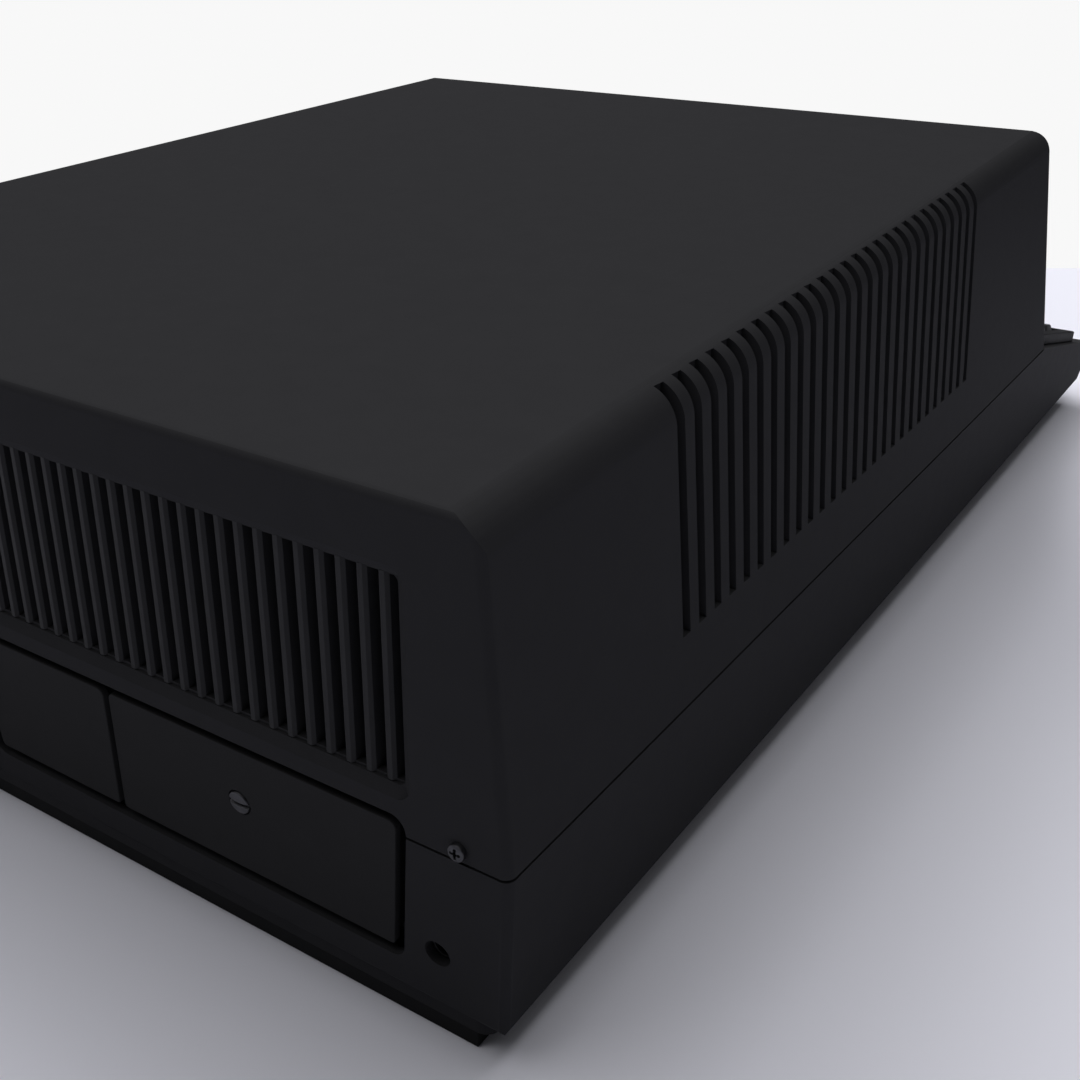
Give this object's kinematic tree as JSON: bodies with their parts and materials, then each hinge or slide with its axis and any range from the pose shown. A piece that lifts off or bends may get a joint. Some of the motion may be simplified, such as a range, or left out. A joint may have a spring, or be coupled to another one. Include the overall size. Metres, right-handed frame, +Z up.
{
  "type": "vintage home computer",
  "caption": "Vintage home computer: tall vented case with rear grille and covers on a base whose sloping deck carries the keyboard; disk drive and speaker in front.",
  "frame": {"origin": "on the table under the middle of the machine's overall box", "axes": "+X to the user's right, +Y to the back of the machine, +Z up; the keyboard slopes down towards -Y"},
  "size_m": [0.402, 0.6524, 0.1846],
  "materials": {
    "case_plastic": "fine textured satin",
    "bezel_plastic": "fine textured satin",
    "panel_plastic": "fine textured satin",
    "grille_plastic": "satin",
    "cover_plastic": "fine textured satin",
    "pan_steel": "dark semi-gloss paint",
    "plate_steel": "black paint",
    "foot_rubber": "dull",
    "screen_black": "dull",
    "screw_steel": "blackened",
    "socket_black": "satin",
    "rocker_black": "gloss",
    "port_metal": "nickel plated",
    "board_green": "solder mask gloss",
    "chip_black": "matt",
    "socket_blue": "satin",
    "standoff_brass": "turned",
    "chassis_metal": "sheet",
    "core_steel": "laminated and varnished",
    "board_brown": "paper laminate",
    "capacitor_sleeve": "shrink sleeve",
    "fan_black": "satin",
    "speaker_metal": "pressed steel",
    "drive_metal": "cast",
    "drive_black": "fine textured",
    "lamp_red": "clear red",
    "button_red": "satin",
    "key_dark": "fine textured",
    "key_grey": "fine textured"
  },
  "bodies": {
    "chassis": {"upper_shell": "case_plastic", "lower_shell": "case_plastic", "base_pan": "pan_steel", "rear_foot_strip": "foot_rubber", "front_foot_strip": "foot_rubber", "rear_grille": "grille_plastic", "rear_plate": "plate_steel", "vent_screens": "screen_black", "front_panel": "panel_plastic", "keyboard_bezel": "bezel_plastic", "rear_case_screws": "screw_steel", "base_screws": "screw_steel", "jack_socket": "socket_black", "mains_inlet": "socket_black", "switch_frame": "socket_black", "fuse_holder": "socket_black", "rear_ports": "port_metal", "main_board": "board_green", "board_standoffs": "standoff_brass", "board_chips": "chip_black", "expansion_sockets": "socket_blue", "controller_card": "board_green", "memory_card": "board_green", "supply_chassis": "chassis_metal", "transformer": "core_steel", "supply_board": "board_brown", "filter_capacitors": "capacitor_sleeve", "fan_frame": "fan_black", "speaker": "speaker_metal", "drive_shelf": "chassis_metal", "drive_frame": "drive_metal", "drive_bezel": "drive_black", "indicator_lamps": "lamp_red", "reset_switch": "socket_black", "keyboard_plate": "pan_steel", "keyboard_board": "board_green", "key_switches": "chip_black"},
    "expansion_cover": {"expansion_cover": "cover_plastic"},
    "cover_fastener": {"cover_fastener": "screw_steel"},
    "port_cover": {"port_cover": "cover_plastic"},
    "power_rocker": {"power_rocker": "rocker_black"},
    "fan_rotor": {"fan_rotor": "fan_black"},
    "drive_lever": {"drive_lever": "drive_black"},
    "reset_button": {"reset_button": "button_red"},
    "number_row_keys": {"number_row_keys": "key_dark"},
    "upper_row_keys": {"upper_row_keys": "key_dark"},
    "home_row_keys": {"home_row_keys": "key_dark"},
    "lower_row_keys": {"lower_row_keys": "key_dark"},
    "bottom_row_keys": {"bottom_row_keys": "key_dark"},
    "space_bar": {"space_bar": "key_dark"},
    "return_key": {"return_key": "key_grey"},
    "left_shift_key": {"left_shift_key": "key_grey"},
    "right_shift_key": {"right_shift_key": "key_grey"},
    "backspace_key": {"backspace_key": "key_grey"},
    "tab_key": {"tab_key": "key_grey"},
    "control_key": {"control_key": "key_grey"},
    "keypad_keys": {"keypad_keys": "key_dark"},
    "keypad_enter_key": {"keypad_enter_key": "key_grey"},
    "keypad_zero_key": {"keypad_zero_key": "key_dark"}
  },
  "joints": [
    {"name": "expansion_cover_slide", "type": "slide", "parent": "chassis", "child": "expansion_cover", "axis": [0, 0.9969, -0.0785], "range_m": [0, 0.018]},
    {"name": "cover_fastener_turn", "type": "hinge", "parent": "expansion_cover", "child": "cover_fastener", "pos_m": [-0.1045, 0.3229, 0.05285], "axis": [0, 0.9969, -0.0785], "range_deg": [0, 90]},
    {"name": "port_cover_slide", "type": "slide", "parent": "chassis", "child": "port_cover", "axis": [0, 0.9969, -0.0785], "range_m": [0, 0.018]},
    {"name": "power_rocker_tilt", "type": "hinge", "parent": "chassis", "child": "power_rocker", "pos_m": [0.102, 0.3204, 0.04021], "axis": [-1, 0, 0], "range_deg": [0, 20]},
    {"name": "fan_spin", "type": "hinge", "parent": "chassis", "child": "fan_rotor", "pos_m": [0.112, 0.30236, 0.11428], "axis": [0, 0.9997, 0.0244], "continuous": true},
    {"name": "drive_lever_turn", "type": "hinge", "parent": "chassis", "child": "drive_lever", "pos_m": [0.095, -0.16251, 0.14185], "axis": [0, 0.9753, -0.2207], "range_deg": [0, 90]},
    {"name": "reset_button_press", "type": "slide", "parent": "chassis", "child": "reset_button", "axis": [0, 0.9753, -0.2207], "range_m": [0, 0.002], "stiffness_N_per_m": 400, "springref_m": -0.001},
    {"name": "number_row_keys_press", "type": "slide", "parent": "chassis", "child": "number_row_keys", "axis": [0, 0.2351, -0.972], "range_m": [0, 0.0038], "stiffness_N_per_m": 1950, "springref_m": -0.002},
    {"name": "upper_row_keys_press", "type": "slide", "parent": "chassis", "child": "upper_row_keys", "axis": [0, 0.2351, -0.972], "range_m": [0, 0.0038], "stiffness_N_per_m": 1950, "springref_m": -0.002},
    {"name": "home_row_keys_press", "type": "slide", "parent": "chassis", "child": "home_row_keys", "axis": [0, 0.2351, -0.972], "range_m": [0, 0.0038], "stiffness_N_per_m": 1650, "springref_m": -0.002},
    {"name": "lower_row_keys_press", "type": "slide", "parent": "chassis", "child": "lower_row_keys", "axis": [0, 0.2351, -0.972], "range_m": [0, 0.0038], "stiffness_N_per_m": 1500, "springref_m": -0.002},
    {"name": "bottom_row_keys_press", "type": "slide", "parent": "chassis", "child": "bottom_row_keys", "axis": [0, 0.2351, -0.972], "range_m": [0, 0.0038], "stiffness_N_per_m": 600, "springref_m": -0.002},
    {"name": "space_bar_press", "type": "slide", "parent": "chassis", "child": "space_bar", "axis": [0, 0.2351, -0.972], "range_m": [0, 0.0038], "stiffness_N_per_m": 150, "springref_m": -0.002},
    {"name": "return_key_press", "type": "slide", "parent": "chassis", "child": "return_key", "axis": [0, 0.2351, -0.972], "range_m": [0, 0.0038], "stiffness_N_per_m": 150, "springref_m": -0.002},
    {"name": "left_shift_key_press", "type": "slide", "parent": "chassis", "child": "left_shift_key", "axis": [0, 0.2351, -0.972], "range_m": [0, 0.0038], "stiffness_N_per_m": 150, "springref_m": -0.002},
    {"name": "right_shift_key_press", "type": "slide", "parent": "chassis", "child": "right_shift_key", "axis": [0, 0.2351, -0.972], "range_m": [0, 0.0038], "stiffness_N_per_m": 150, "springref_m": -0.002},
    {"name": "backspace_key_press", "type": "slide", "parent": "chassis", "child": "backspace_key", "axis": [0, 0.2351, -0.972], "range_m": [0, 0.0038], "stiffness_N_per_m": 150, "springref_m": -0.002},
    {"name": "tab_key_press", "type": "slide", "parent": "chassis", "child": "tab_key", "axis": [0, 0.2351, -0.972], "range_m": [0, 0.0038], "stiffness_N_per_m": 150, "springref_m": -0.002},
    {"name": "control_key_press", "type": "slide", "parent": "chassis", "child": "control_key", "axis": [0, 0.2351, -0.972], "range_m": [0, 0.0038], "stiffness_N_per_m": 150, "springref_m": -0.002},
    {"name": "keypad_keys_press", "type": "slide", "parent": "chassis", "child": "keypad_keys", "axis": [0, 0.2351, -0.972], "range_m": [0, 0.0038], "stiffness_N_per_m": 2400, "springref_m": -0.002},
    {"name": "keypad_enter_key_press", "type": "slide", "parent": "chassis", "child": "keypad_enter_key", "axis": [0, 0.2351, -0.972], "range_m": [0, 0.0038], "stiffness_N_per_m": 150, "springref_m": -0.002},
    {"name": "keypad_zero_key_press", "type": "slide", "parent": "chassis", "child": "keypad_zero_key", "axis": [0, 0.2351, -0.972], "range_m": [0, 0.0038], "stiffness_N_per_m": 150, "springref_m": -0.002}
  ]
}
